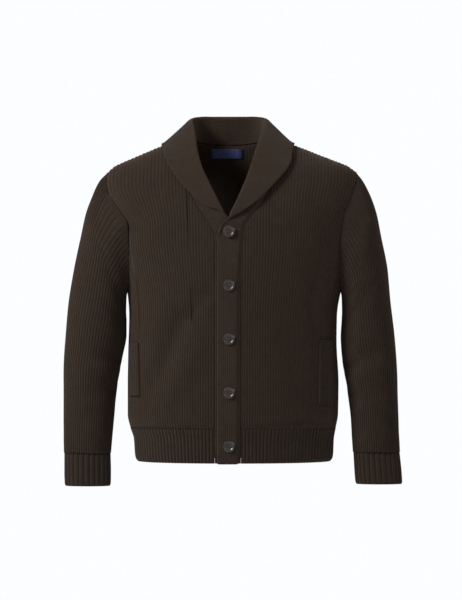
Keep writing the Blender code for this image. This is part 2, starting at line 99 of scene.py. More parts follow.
FORM = Table(
    "height left right side front back",
    (-666, -191, 214, -80, -185, 23),
    (-655, -195, 218, -80, -189, 26),
    (-618, -198, 220, -80, -193, 29),
    (-596, -205, 224, -79, -197, 31),
    (-568, -211, 229, -78, -201, 33),
    (-500, -211, 230, -78, -204, 33),
    (-417, -209, 226, -77, -205, 34),
    (-360, -208, 227, -76, -205, 36),
    (-310, -212, 235, -75, -205, 38),
    (-265, -222, 246, -75, -204, 39),
    (-223, -232, 255, -75, -202, 39),
    (-165, -246, 266, -75, -196, 36),
    (-120, -257, 275, -75, -184, 30),
    (-90, -260, 277, -75, -172, 22),
    (-61, -254, 268, -75, -158, 14),
    (-47, -238, 250, -75, -148, 10),
    (-30, -200, 206, -75, -136, 5),
    (-4, -138, 140, -75, -118, 1),
    (12, -84, 84, -75, -104, -7),
    (20, -40, 40, -75, -90, -16),
)
ARMHOLE = Table(
    "height left right",
    (-310, -212, 235), (-290, -208, 232), (-262, -206, 231), (-213, -207, 232), (-171, -209, 237),
    (-146, -223, 241), (-120, -241, 252), (-102, -252, 258), (-80, -256, 266), (-60, -253.5, 267.5),
)
BAND_SEAM = Table(
    "height left right",
    (-666, -29, 25.5), (-299, -29, 26), (-246, -29, 29), (-215, -29, 32), (-195, -31, 33),
    (-177, -37, 36), (-163, -46, 44), (-149, -56, 54), (-134, -66, 67), (-105, -81, 82),
    (-72, -88, 88), (-36, -88, 88), (12, -84, 84),
)
COLLAR_COLUMNS = "along roll_x roll_y roll_z edge_x edge_y edge_z"
COLLAR = {
    RIGHT: Table(
        COLLAR_COLUMNS,
        (-200, -17, -201.6, -198, -23, -201.4, -197),
        (-178, -8, -200.2, -172, -14, -200.4, -171),
        (-165, 3, -200, -150, 20, -204, -151),
        (-150, 14, -195, -131, 48, -198, -132),
        (-130, 26, -186, -104, 71, -190, -113),
        (-105, 38, -170, -76, 98, -176, -84),
        (-72, 51, -149, -37, 121, -159, -57),
        (-36, 64, -119, 2, 131, -140, -36),
        (-8, 74, -86, 31, 134, -115, -14),
        (12, 79, -52, 51, 138, -72, -3),
        (30, 66, -22, 58, 114, -16, -4),
        (54, 42, -10, 60, 66, 9, -12),
        (75, 21, -7, 60, 33, 14, -15),
        (96, 0, -6, 60, 0, 16, -17),
    ),
    LEFT: Table(
        COLLAR_COLUMNS,
        (-200, 9, -198, -197, 14, -198, -196),
        (-177, 2, -196, -168, 8, -196, -167),
        (-163, -8, -197, -149, -19, -199, -144),
        (-150, -17, -193, -134, -44, -194, -135),
        (-134, -25, -188, -118, -62, -189, -121),
        (-105, -40, -174, -88, -92, -176, -93),
        (-72, -56, -155, -53, -114, -160, -63),
        (-36, -67, -126, -12, -131, -139, -34),
        (-8, -73, -90, 24, -137, -114, -14),
        (12, -79, -53, 50, -141, -72, -3),
        (30, -66, -22, 58, -114, -16, -4),
        (54, -42, -10, 60, -66, 9, -12),
        (75, -21, -7, 60, -33, 14, -15),
        (96, 0, -6, 60, 0, 16, -17),
    ),
}
SLEEVE_COLUMNS = "row outer_x outer_z inner_x inner_z depth middle"
SLEEVE = {
    LEFT: Table(
        SLEEVE_COLUMNS,
        (0, -254, -60, -212.5, -310, 62, -76), (1, -272, -81, -216, -322, 64, -77),
        (2, -287, -114, -216, -337, 65, -78), (3, -299, -148, -216, -352, 65, -79),
        (4, -310, -198, -215, -375, 64, -80), (5, -324, -265, -215, -403, 62, -82),
        (6, -335, -333, -224, -450, 59, -84), (7, -341, -400, -231, -488, 55, -86),
        (8, -345, -470, -236, -525, 50, -88), (9, -345, -540, -240, -568, 45, -91),
        (10, -345, -600, -244, -612, 39, -94), (11, -344, -648, -247, -648, 30, -96),
    ),
    RIGHT: Table(
        SLEEVE_COLUMNS,
        (0, 268, -60, 235.5, -310, 62, -76), (1, 283, -81, 239, -322, 64, -77),
        (2, 299, -114, 239, -337, 65, -78), (3, 310, -148, 239, -352, 65, -79),
        (4, 320, -198, 238, -375, 64, -80), (5, 333, -265, 236, -408, 62, -82),
        (6, 339, -333, 240, -460, 59, -84), (7, 347, -400, 247, -498, 55, -86),
        (8, 352, -470, 252, -536, 50, -88), (9, 354, -540, 257, -578, 45, -91),
        (10, 356, -600, 259, -616, 39, -94), (11, 358, -646, 261, -646, 30, -96),
    ),
}
CUFFS = {
    LEFT: Table("height outer inner depth middle", (-717, -342, -247.5, 25, -98),
                (-690, -343, -247, 26, -97), (-648, -343, -248, 28, -96)),
    RIGHT: Table("height outer inner depth middle", (-713, 363, 266.5, 25, -98),
                 (-690, 361.5, 264.5, 26, -97), (-646, 357, 262, 28, -96)),
}


# %% [markdown]
# ## The body's form
# Each height has a ring with a flat-sided oval shape.  Angle 0 is the middle of the front or
# back, and a quarter turn is the side seam.  The same formula says which way the cloth faces.

# %% Points and normals of the form
def side_name(side):
    return "left" if side == LEFT else "right"


def ring(height, face):
    left, right, side = (FORM.at(name, height) for name in ("left", "right", "side"))
    depth = FORM.at("front" if face == FRONT else "back", height) - side
    return (left + right) / 2, (right - left) / 2, side, depth


def form_point(angle, height, face):
    middle, half, side, depth = ring(height, face)
    power = 2 / SQUARENESS
    x = middle + half * np.sign(angle) * np.abs(np.sin(angle)) ** power
    y = side + depth * np.clip(np.cos(angle), 0, 1) ** power
    return np.stack(np.broadcast_arrays(x, y, height), -1).astype(float)


def angle_at(x, height):
    middle, half, _, _ = ring(height, FRONT)
    share = np.clip((x - middle) / half, -1, 1)
    return np.sign(share) * np.arcsin(np.abs(share) ** (SQUARENESS / 2))


def level(points):
    x, y, height = np.moveaxis(points, -1, 0)
    middle, half, side, front = ring(height, FRONT)
    back = FORM.at("back", height) - side
    depth = np.where(y < side, -front, back)
    return np.abs((x - middle) / half) ** SQUARENESS + np.abs((y - side) / depth) ** SQUARENESS


def slope_of_level(points, step=0.05):
    shifts = np.eye(3) * step
    return np.stack([(level(points + s) - level(points - s)) / (2 * step) for s in shifts], -1)


def unit(vectors):
    return vectors / np.maximum(np.linalg.norm(vectors, axis=-1, keepdims=True), 1e-9)


def form_normal(points):
    return unit(slope_of_level(points))


def keep_above(points, need):
    slope = slope_of_level(points)
    size = np.maximum(np.linalg.norm(slope, axis=-1), 1e-9)
    lift = np.maximum(need - (level(points) - 1) / size, 0)
    lift = np.where(points[..., 2] < NECK_POINT, lift, 0)
    return points + slope / size[..., None] * lift[..., None]


def run_along(points):
    """How far along a line each of its points is."""
    return np.concatenate([[0], np.cumsum(np.linalg.norm(np.diff(points, axis=0), axis=1))])


CHEST = -250.0      # height at which ribs are spaced evenly
ANGLES = np.linspace(-math.pi / 2, math.pi / 2, 721)
ARC = run_along(form_point(ANGLES, CHEST, FRONT))
ARC -= np.interp(0, ANGLES, ARC)
print("half round the chest:", round(float(ARC[-1] - ARC[0])), "mm")


# %% [markdown]
# ## Knitted walls
# Ribs are columns of stitches.  Each panel is a grid whose columns follow the ribs, so the ribs
# are real ridges and stay clean where a seam cuts them.  The wall's two skins share the grid.

# %% Make a wall from a grid
UV_SCALE = 100.0        # millimetres of cloth in one unit of the UV map


def make_wall(name, outer, inner, uv, closed=False):
    """A closed shell from two grids.  uv holds millimetres across and along the cloth."""
    rows, columns = outer.shape[:2]
    points = np.concatenate([outer.reshape(-1, 3), inner.reshape(-1, 3)]) * TO_METRES
    index = np.arange(rows * columns).reshape(rows, columns)
    span = np.concatenate([index, index[:, :1]], 1) if closed else index
    corners = [span[:-1, :-1], span[:-1, 1:], span[1:, 1:], span[1:, :-1]]
    quads = np.stack(corners, -1).reshape(-1, 4)
    shift = rows * columns
    rims = [rim_quads(span[0], shift, True), rim_quads(span[-1], shift, False)]
    if not closed:
        rims += [rim_quads(index[:, 0], shift, False), rim_quads(index[:, -1], shift, True)]
    faces = np.concatenate([quads, quads[:, ::-1] + shift] + rims)
    mesh = bpy.data.meshes.new(name)
    mesh.vertices.add(len(points))
    mesh.vertices.foreach_set("co", points.astype(np.float32).ravel())
    mesh.loops.add(faces.size)
    mesh.loops.foreach_set("vertex_index", faces.ravel().astype(np.int32))
    mesh.polygons.add(len(faces))
    mesh.polygons.foreach_set("loop_start", np.arange(0, faces.size, 4, dtype=np.int32))
    mesh.update(calc_edges=True)
    layer = mesh.uv_layers.new(name="cloth")
    flat = np.concatenate([uv.reshape(-1, 2)] * 2) / UV_SCALE
    layer.data.foreach_set("uv", flat[faces.ravel()].astype(np.float32).ravel())
    mesh.validate()
    return finish_piece(name, mesh)


def rim_quads(line, shift, turn):
    """Closes the gap between the two skins along one edge."""
    quads = np.stack([line[:-1], line[1:], line[1:] + shift, line[:-1] + shift], -1)
    return quads[:, ::-1] if turn else quads


def finish_piece(name, mesh):
    """Links the piece, and turns it the right way out if its volume is below nought."""
    piece = bpy.data.objects.new(name, mesh)
    bpy.context.scene.collection.objects.link(piece)
    points = np.empty(len(mesh.vertices) * 3, np.float32)
    mesh.vertices.foreach_get("co", points)
    mesh.calc_loop_triangles()
    corners = np.empty(len(mesh.loop_triangles) * 3, np.int32)
    mesh.loop_triangles.foreach_get("vertices", corners)
    p = points.reshape(-1, 3)[corners.reshape(-1, 3)].astype(float)
    if np.einsum("ij,ij->i", p[:, 0], np.cross(p[:, 1], p[:, 2])).sum() < 0:
        mesh.flip_normals()
    mesh.shade_smooth()
    print(name, len(mesh.loop_triangles), "triangles")
    return piece


def grid_normals(points):
    return unit(np.cross(np.gradient(points, axis=1), np.gradient(points, axis=0)))


def tube_normals(points):
    around = np.roll(points, -1, 1) - np.roll(points, 1, 1)
    normals = unit(np.cross(around, np.gradient(points, axis=0)))
    outward = points - points.mean(axis=1, keepdims=True)
    return normals * np.sign((normals * outward).sum())


ROUNDNESS, VALLEY = 0.8, 1.15


def rib_wave(across, pitch, height):
    """Round ridges with narrow valleys, in millimetres."""
    wave = np.abs(np.sin(math.pi * across / pitch)) ** ROUNDNESS
    return height * (2 * wave - VALLEY)


def cloth_size(grid):
    """Width, length and area in metres of a grid of cloth, before its ribs."""
    across = np.linalg.norm(np.diff(grid, axis=1), axis=2).sum(1).max()
    along = np.linalg.norm(np.diff(grid, axis=0), axis=2).sum(0).max()
    a = grid[1:, 1:] - grid[:-1, :-1]
    b = grid[1:, :-1] - grid[:-1, 1:]
    area = np.linalg.norm(np.cross(a, b), axis=2).sum() / 2
    return across * TO_METRES, along * TO_METRES, area * TO_METRES**2


LEAST_CUT = 0.32        # of the rectangle a piece is cut from


def dress(piece, node, grid, widest=None):
    """Puts a piece in a node's place and states the cloth it was cut from."""
    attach(piece, "root")
    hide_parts(node)
    width, length, area = cloth_size(grid)
    width = width if widest is None else widest * TO_METRES
    area = min(max(area, LEAST_CUT * width * length), width * length)
    print(f"{piece.name}: {width * 1000:.0f} x {length * 1000:.0f} mm, {area:.3f} m2")


# %% [markdown]
# ## Folds
# Worn knit hangs in soft troughs.  Each fold is a line on the front or back with a width, and a
# depth that is below nought for a trough and above it for a ridge.

# %% The folds
FOLDS = (
    # face, x0, z0, x1, z1, width, depth
    (FRONT, -42, -312, -100, -378, 17, -4.5),
    (FRONT, -100, -378, -164, -520, 20, -8.0),
    (FRONT, -62, -428, -130, -540, 20, 4.0),
    (FRONT, -120, -330, -185, -430, 22, 3.0),
    (FRONT, 205, -270, 190, -400, 18, -4.0),
    (FRONT, 150, -300, 176, -420, 26, 2.6),
    (FRONT, 120, -420, 165, -560, 24, -2.2),
    (FRONT, -150, -110, -215, -190, 26, -3.0),
    (FRONT, 170, -110, 225, -200, 24, -3.2),
    (FRONT, -70, -200, -150, -260, 34, -2.0),
    (FRONT, -190, -570, -60, -582, 9, 2.0),
    (FRONT, 60, -582, 205, -568, 9, 2.4),
    (BACK, -120, -330, -30, -480, 26, -4.5),
    (BACK, 140, -350, 60, -500, 28, -4.0),
    (BACK, -60, -520, 90, -560, 20, 3.0),
    (BACK, -190, -180, -110, -300, 28, -3.5),
    (BACK, 200, -190, 130, -310, 28, -3.5),
    (BACK, -20, -120, 20, -300, 34, 2.0),
)


FOLD_FADE = 25.0        # the hem rib holds the cloth, so folds die out above it


def fold_depth(points, face):
    """How far the cloth is moved out at each point."""
    moved = np.zeros(points.shape[:-1])
    for where, x0, z0, x1, z1, width, depth in FOLDS:
        if where != face:
            continue
        run = np.array([x1 - x0, z1 - z0])
        span = points[..., [0, 2]] - np.array([x0, z0])
        t = np.clip(span @ run / (run @ run), 0, 1)
        off = np.linalg.norm(span - t[..., None] * run, axis=-1)
        moved += depth * np.exp(-((off / width) ** 2)) * (0.65 + 0.35 * np.sin(math.pi * t))
    fade = np.clip((points[..., 2] - PANEL_FOOT) / FOLD_FADE, 0, 1)
    return moved * fade


# %% [markdown]
# ## Fronts and back
# A column of stitches runs straight up from the hem rib until the neck, shoulder or armhole
# seam cuts it.  So each column's top is found first, and its rows are spread up to there.

# %% Columns of a panel
FAN_FROM = -213.0       # above this height the outer ribs lean out along the armhole
STRAIGHT_BAND = -299.0  # below this height the band runs straight down
COLUMN_STEPS = 6        # columns of points to a rib
SHOULDER_ROWS = 9       # last rows of FORM, which draw the shoulder line
HEIGHTS = np.linspace(PANEL_FOOT, NECK_POINT, 400)


def column_angle(side, share, height, face):
    """share runs from the band (or the middle of the back) at 0 to the side seam at 1."""
    start = 0.0
    if face == FRONT:
        low = np.minimum(height, STRAIGHT_BAND)
        start = angle_at(BAND_SEAM.at(side_name(side), low), height)
    return start + (side * math.pi / 2 - start) * share


def column_point(side, share, height, face):
    low = np.minimum(height, FAN_FROM)
    x = form_point(column_angle(side, share, low, face), low, face)[..., 0]
    name = side_name(side)
    narrow = np.abs(ARMHOLE.at(name, FAN_FROM))
    lean = np.abs(ARMHOLE.at(name, np.maximum(height, FAN_FROM))) - narrow
    fanned = x + side * lean * np.clip(np.abs(x) / narrow, 0, 1) ** 3
    turned = column_angle(side, share, height, face)
    turned = np.where(height > FAN_FROM, angle_at(fanned, height), turned)
    return form_point(turned, height, face)


def column_tops(side, shares, face):
    """Height at which each column meets a seam."""
    name = side_name(side)
    height = HEIGHTS[:, None]
    x = np.abs(column_point(side, shares[None, :], height + 0 * shares[None, :], face)[..., 0])
    armhole = np.abs(ARMHOLE.at(name, height)) + 0.2
    inside = (height < UNDERARM) | (x <= armhole)
    wide = form_point(side * math.pi / 2, height[:, 0], face)[:, 0]
    inside &= x <= np.abs(wide)[:, None] + 0.01
    if face == FRONT:
        inside &= x >= np.abs(BAND_SEAM.at(name, height)) - 1.5
    else:
        neck = NECK_POINT * (np.clip(x, 0, NECK_HALF) / NECK_HALF) ** 2
        inside &= (x >= NECK_HALF) | (height <= neck)
    line_x = np.abs(FORM.columns[name])[::-1][:SHOULDER_ROWS]
    shoulder = np.interp(x, line_x, FORM.key[::-1][:SHOULDER_ROWS])
    inside &= (x > line_x[-1]) | (height <= shoulder + 0.01)
    inside[0] = True
    first = np.where(inside.all(0), len(HEIGHTS) - 1, np.argmin(inside, 0) - 1)
    return HEIGHTS[np.clip(first, 1, None)]


def columns_of(side, face, step):
    """Shares of the columns, evenly spaced round the chest, and how far round each one is."""
    middle = column_angle(side, 0.0, CHEST, face) if face == FRONT else 0.0
    start = np.interp(middle, ANGLES, ARC)
    end = ARC[0] if side == LEFT else ARC[-1]
    count = int(abs(end - start) / step) + 1
    arcs = np.linspace(start, end, count)
    angles = np.interp(arcs, ARC, ANGLES)
    return (angles - middle) / (side * math.pi / 2 - middle), arcs


def halves(face, step, sides):
    """The columns of one panel, from the viewer's left to right."""
    found = []
    for side in sides:
        shares, arcs = columns_of(side, face, step)
        if side == LEFT:
            shares, arcs = shares[::-1], arcs[::-1]
        elif len(sides) == 2:
            shares, arcs = shares[1:], arcs[1:]
        found.append((side, shares, arcs))
    return found


FOLD_EASE = 1.03        # the cut is a little wider than the form, for the folds


def panel(name, sides, face, rows, node):
    grids, across = [], []
    share = np.linspace(0, 1, rows)[:, None]
    for side, columns, arcs in halves(face, RIB / COLUMN_STEPS, sides):
        tops = column_tops(side, columns, face)
        heights = PANEL_FOOT + share * (tops[None, :] - PANEL_FOOT)
        grids.append(column_point(side, columns[None, :] + 0 * share, heights, face))
        across.append(arcs)
    smooth, arcs = np.concatenate(grids, 1), np.concatenate(across)
    heights = smooth[..., 2]
    normal = form_normal(smooth)
    smooth = smooth + normal * fold_depth(smooth, face)[..., None]
    wave = rib_wave(arcs, RIB, RIB_HEIGHT)[None, :]
    outer = smooth + normal * (wave + PLUMP)[..., None]
    inner = smooth - normal * (SKIN_IN + 0.5 * wave)[..., None]
    uv = np.stack(np.broadcast_arrays(arcs[None, :], heights), -1)
    piece = make_wall(name, outer, inner, uv)
    dress(piece, node, smooth, widest=FOLD_EASE * abs(arcs[-1] - arcs[0]))
    return piece


PANELS = []
for side in (LEFT, RIGHT):
    name = side_name(side)
    PANELS.append(panel(f"knit_front_{name}", (side,), FRONT, 60, f"front_panel_{name}"))
PANELS.append(panel("knit_back", (LEFT, RIGHT), BACK, 56, "back_panel"))


# %% [markdown]
# ## Hem rib
# The hem is knitted on fewer, wider ribs, which pull it in.  It hangs straight down from the
# panels, and its lower edge turns in a little.

# %% The hem, in a front on each side and a back
WIDE_STEPS, WIDE_ROWS = 8, 16       # columns of points to a wide rib, and rows
EDGE_CURL = 5.0                     # height over which a free edge rounds in


def rib_walls(smooth, normal, heights, foot, wave, plump):
    """Both skins of a rib whose lower edge, at foot, curls in."""
    edge = np.clip((heights - foot) / EDGE_CURL, 0, 1) ** 0.5
    out = (wave + plump) * (0.4 + 0.6 * edge) - 1.1 * (1 - edge)
    inside = WIDE_SKIN_IN + 0.5 * wave - 0.9 * (1 - edge)
    return smooth + normal * out[..., None], smooth - normal * inside[..., None]


def hem(name, sides, face, node):
    heights = np.linspace(HEM, PANEL_FOOT - SEAM, WIDE_ROWS)[:, None]
    found = halves(face, WIDE_RIB / WIDE_STEPS, sides)
    grids = [form_point(column_angle(side, shares[None, :], heights, face), heights, face)
             for side, shares, _ in found]
    smooth, arcs = np.concatenate(grids, 1), np.concatenate([arcs for _, _, arcs in found])
    normal = form_normal(smooth)
    wave = rib_wave(arcs, WIDE_RIB, WIDE_RIB_HEIGHT)[None, :]
    outer, inner = rib_walls(smooth, normal, heights, HEM, wave, PLUMP)
    uv = np.stack(np.broadcast_arrays(arcs[None, :] / WIDE_RIB * RIB, heights), -1)
    piece = make_wall(name, outer, inner, uv)
    dress(piece, node, smooth)
    return piece


RIBS = [hem(f"hem_front_{side_name(side)}", (side,), FRONT, f"hem_rib_front_{side_name(side)}")
        for side in (LEFT, RIGHT)]
RIBS.append(hem("hem_back", (LEFT, RIGHT), BACK, "hem_rib_back"))


# %% [markdown]
# ## Sleeves and cuffs
# A sleeve is a tube from the armhole to the cuff.  Its first ring is the armhole itself, and
# that shape fades into an oval down the cap.  The elbow and the underarm have soft creases.

# %% The sleeve's rings
SLEEVE_FOLDS = (
    # row, turn (0 outside, pi inside, below nought at the front), length, width, depth
    (6.6, -2.0, 0.9, 0.34, -5.0),
    (7.4, -1.7, 1.1, 0.30, 3.0),
    (8.1, -2.1, 0.9, 0.28, -3.6),
    (4.6, -1.9, 1.0, 0.40, -3.4),
    (2.4, -1.2, 0.7, 0.60, 2.4),
    (9.4, -1.4, 1.0, 0.30, -2.0),
    (6.4, 2.0, 1.0, 0.40, -4.0),
    (7.6, 1.6, 1.0, 0.40, -3.0),
    (4.4, 1.7, 0.8, 0.50, -3.0),
)


def armhole_point(side, turn):
    """Points of the armhole: turn 0 is its top, and below nought is the front."""
    up = np.cos(turn)
    height = UNDERARM + (up + 1) / 2 * (SHOULDER_TIP - UNDERARM)
    angle = angle_at(ARMHOLE.at(side_name(side), height), height)
    front, back = form_point(angle, height, FRONT), form_point(angle, height, BACK)
    return np.where((turn < 0)[..., None], front, back)


def sleeve_grid(side, turns, rows):
    table = SLEEVE[side]
    rows = rows[:, None]
    outer = np.stack([table.at("outer_x", rows), 0 * rows, table.at("outer_z", rows)], -1)
    inner = np.stack([table.at("inner_x", rows), 0 * rows, table.at("inner_z", rows)], -1)
    y = np.array([0.0, 1.0, 0.0])
    middle = (outer + inner) / 2 + table.at("middle", rows)[..., None] * y
    reach, depth = (outer - inner) / 2, table.at("depth", rows)[..., None] * y
    up, forward = np.cos(turns)[None, :, None], np.sin(turns)[None, :, None]
    points = middle + up * reach + forward * depth
    fade = np.clip(1 - rows / CAP_ROWS, 0, 1)[..., None]
    points = points + fade * (armhole_point(side, turns)[None] - points[:1])
    points[0, :, 0] += side * SEAM
    return points


SLEEVE_RIBS, SLEEVE_RIB_HEIGHT = 64, 0.8
CAP_ROWS, LAST_ROW = 3, 11          # the armhole's shape fades out over the cap
ROW_LENGTH = 55.0                   # average, in millimetres


def build_sleeve(side):
    name = side_name(side)
    count = SLEEVE_RIBS * COLUMN_STEPS
    ribs = np.arange(count)[None, :] / COLUMN_STEPS
    turns = np.linspace(-math.pi, math.pi, count, endpoint=False)
    rows = np.concatenate([np.linspace(0, CAP_ROWS, 22)[:-1], np.linspace(CAP_ROWS, LAST_ROW, 52)])
    smooth = sleeve_grid(side, turns, rows)
    normal = tube_normals(smooth)
    move = np.zeros(smooth.shape[:2])
    for row, turn, length, width, depth in SLEEVE_FOLDS:
        slant = rows[:, None] - row - 0.5 * (turns[None, :] - turn)
        across = (turns[None, :] - turn) / length
        move += depth * np.exp(-((slant / width) ** 2) - across**2)
    smooth = smooth + normal * (move * np.clip(rows[:, None] / 1.5, 0, 1))[..., None]
    ribbed = np.clip((rows[:, None] - 0.35) / 0.25, 0, 1)   # the cap starts with a plain strip
    wave = rib_wave(ribs, 1.0, SLEEVE_RIB_HEIGHT) * (0.15 + 0.85 * ribbed)
    outer = smooth + normal * (wave + PLUMP)[..., None]
    inner = smooth - normal * (SKIN_IN + 0.5 * wave)[..., None]
    uv = np.stack(np.broadcast_arrays(ribs * RIB, -rows[:, None] * ROW_LENGTH), -1)
    piece = make_wall(f"knit_sleeve_{name}", outer, inner, uv, closed=True)
    dress(piece, f"sleeve_{name}", np.concatenate([smooth, smooth[:, :1]], 1))
    return piece


PANELS += [build_sleeve(side) for side in (LEFT, RIGHT)]


# %% The cuffs
CUFF_RIBS, CUFF_RIB_HEIGHT = 26, 1.2


def build_cuff(side):
    name = side_name(side)
    table = CUFFS[side]
    count = CUFF_RIBS * WIDE_STEPS
    ribs = np.arange(count)[None, :] / WIDE_STEPS
    turns = np.linspace(-math.pi, math.pi, count, endpoint=False)[None, :]
    heights = np.linspace(table.key[-1] - SEAM, table.key[0], WIDE_ROWS)[:, None]
    far, near = table.at("outer", heights), table.at("inner", heights)
    x = (far + near) / 2 + np.cos(turns) * (far - near) / 2
    y = table.at("middle", heights) + np.sin(turns) * table.at("depth", heights)
    smooth = np.stack(np.broadcast_arrays(x, y, heights), -1)
    normal = tube_normals(smooth)
    wave = rib_wave(ribs, 1.0, CUFF_RIB_HEIGHT)
    outer, inner = rib_walls(smooth, normal, heights, table.key[0], wave, PLUMP / 2)
    uv = np.stack(np.broadcast_arrays(ribs * RIB, heights), -1)
    piece = make_wall(f"cuff_rib_{name}", outer, inner, uv, closed=True)
    dress(piece, f"cuff_{name}", np.concatenate([smooth, smooth[:, :1]], 1))
    return piece


RIBS += [build_cuff(side) for side in (LEFT, RIGHT)]


# %% [markdown]
# ## The band that becomes the collar
# One long strip is sewn up one front, round the neck and down the other.  Below the neck it is
# the button band.  Above, it widens, stands up, rolls over and falls: a belt round a small
# pulley, with its two straight runs as the stand and the fall.  Its ribs run along it.

# %% A row across the strip
ACROSS = 84                         # points across
RAMP_START, RAMP = 4.0, 6.5         # the strip leaves its seam, then rises over this width
TOP_FALL, TOP_NECK_FALL = 5.0, 4.0  # how far the upper side's fall keeps off the form
UNDER_FALL, NECK_FALL = 2.6, 4.0    # the same on the lower side
SOFT_NECK = -20.0                   # height where the lower side's fall starts to lift


def seam_lift(gone, lift):
    """Rises from the middle of the panel's wall at the seam to lift."""
    return -WALL / 2 + (lift + WALL / 2) * np.clip((gone - RAMP_START) / RAMP, 0, 1)


def seam_point(side, along):
    if along <= NECK_POINT:
        places = [(float(BAND_SEAM.at(side_name(side), z)), z) for z in (along, along + 1)]
        face = FRONT
    else:
        x = side * (NECK_HALF - (along - NECK_POINT))
        places = [(v, NECK_POINT * (v / NECK_HALF) ** 2) for v in (x, x - side)]
        face = BACK
    point, beyond = (form_point(angle_at(x, z), z, face) for x, z in places)
    normal = form_normal(point)
    return point - normal * WALL / 2, unit(np.cross(beyond - point, normal)) * -side


def even(row):
    """The same line with its points evenly spaced."""
    gone = run_along(row)
    place = np.linspace(0, gone[-1], ACROSS)
    return np.stack([np.interp(place, gone, row[:, k]) for k in range(3)], -1), place


def belt(seam, roll, edge):
    """The strip's line across, and how far along it the roll starts."""
    stand, fall = seam - roll, edge - roll
    fall_length = np.linalg.norm(fall)
    bisector = unit(stand) + unit(fall)
    radius = min(ROLL_RADIUS, 0.3 * fall_length)
    if np.linalg.norm(bisector) < 0.2:
        return np.array([seam, roll, edge]), np.linalg.norm(stand)
    top = -unit(bisector)
    over = unit(fall - top * fall.dot(top))
    centre = roll - top * radius
    turns = []
    for end, sign in ((seam, -1), (edge, 1)):
        away = end - centre
        turn = math.atan2(away.dot(over), away.dot(top))
        turns.append(turn - sign * math.acos(min(1.0, radius / np.linalg.norm(away))))
    turns = np.linspace(*turns, 16)
    arc = [centre + radius * (math.cos(t) * top + math.sin(t) * over) for t in turns]
    return np.array([seam] + arc + [edge]), np.linalg.norm(stand)


def band_row(side, along):
    seam, away = seam_point(side, along)
    table = COLLAR[side]
    rolled = along > table.key[0]
    read = max(along, table.key[0])
    roll, edge = (
        np.array([float(table.at(f"{what}_{axis}", read)) for axis in "xyz"])
        for what in ("roll", "edge")
    )
    if not rolled:
        free = PLACKET_LEFT if side == RIGHT else UNDERLAP_RIGHT
        edge = form_point(angle_at(free, along), along, FRONT)
        roll = (seam + edge) / 2
    seam = seam + away * SEAM
    line, stand = belt(seam, roll, edge) if rolled else (np.array([seam, edge]), math.inf)
    row, gone = even(line)
    if not rolled:
        row = form_point(angle_at(row[:, 0], row[:, 2]), row[:, 2], FRONT)
        lift = seam_lift(gone, TOP_LIFT if side == RIGHT else -WALL / 2)
        return row + form_normal(row) * lift[:, None], gone
    folded = gone > stand + 3
    if side == RIGHT:
        need = np.where(folded, TOP_FALL if along < 0 else TOP_NECK_FALL, TOP_LIFT)
    else:
        need = np.where(folded, UNDER_FALL if along < SOFT_NECK else NECK_FALL, -WALL / 2)
    return keep_above(row, seam_lift(gone, need)), gone


# %% The whole strip
LAPEL_FOOT = -215.0     # rows are closer above this height, where the lapel turns
EDGE_ROUND = 2.2        # width over which the strip's edges thin


def build_band():
    up = [np.linspace(HEM, LAPEL_FOOT, 46)[:-1], np.linspace(LAPEL_FOOT, NECK_POINT, 92)]
    back = np.linspace(NECK_POINT, NECK_POINT + NECK_HALF, 26)[1:]
    stations = [(RIGHT, a) for a in np.concatenate([*up, back])]
    stations += [(LEFT, a) for a in np.concatenate([*up, back[:-1]])[::-1]]
    rows = [band_row(side, float(along)) for side, along in stations]
    smooth = np.array([row for row, _ in rows])
    gone = np.array([distance for _, distance in rows])
    for _ in range(3):      # evens out the steps where the lapel starts to roll
        smooth[1:-1] = (smooth[:-2] + 2 * smooth[1:-1] + smooth[2:]) / 4
    normal = grid_normals(smooth)
    width = gone[:, -1:]
    wave = rib_wave(gone, BAND_RIB, BAND_RIB_HEIGHT)
    edge = np.clip(np.minimum(gone, width - gone) / EDGE_ROUND, 0, 1) ** 0.5
    half = WALL / 2 * (0.35 + 0.65 * edge)
    uv = np.stack(np.broadcast_arrays(gone, run_along(smooth[:, 0])[:, None]), -1)
    outer = smooth + normal * (half + wave)[..., None]
    inner = smooth - normal * (half + wave)[..., None]
    piece = make_wall("shawl_collar_band", outer, inner, uv)
    dress(piece, "shawl_band", smooth)
    print("the strip is", round(width.min()), "to", round(width.max()), "mm wide")
    return piece


BAND = build_band()


# %% [markdown]
# ## Pocket welts and neck label
# A welt is a ribbed strip along the pocket's mouth, near the side seam.  The label is a plain
# strip of woven tape inside the neck.

# %% Strips that lie on the form
WELT_RIB_HEIGHT = 0.6
WELT_LOW, WELT_HIGH = 0.9, 3.4
LABEL_LOW, LABEL_HIGH = -4.6, -3.8      # inside the back panel's wall


def strip(name, left, right, bottom, top, face, low, high, ribs, node):
    columns = ribs * COLUMN_STEPS + 1
    heights = np.linspace(bottom, top, 40)[:, None]
    x = np.linspace(left, right, columns)[None, :]
    smooth = form_point(angle_at(x, heights), heights + 0 * x, face)
    normal = form_normal(smooth)
    smooth = smooth + normal * fold_depth(smooth, face)[..., None] * (low > 0)
    u = np.linspace(0, ribs, columns)[None, :]
    ribbed = ribs > 1
    wave = rib_wave(u, 1.0, WELT_RIB_HEIGHT) if ribbed else 0 * u
    edge = np.clip(np.minimum(u, ribs - u) / (0.35 if ribbed else 0.05), 0, 1) ** 0.5
    out = low + (high - low + wave) * edge + 0.1 + 0 * heights
    uv = np.stack(np.broadcast_arrays(u * RIB, heights), -1)
    piece = make_wall(name, smooth + normal * out[..., None], smooth + normal * low, uv)
    dress(piece, node, smooth)
    return piece


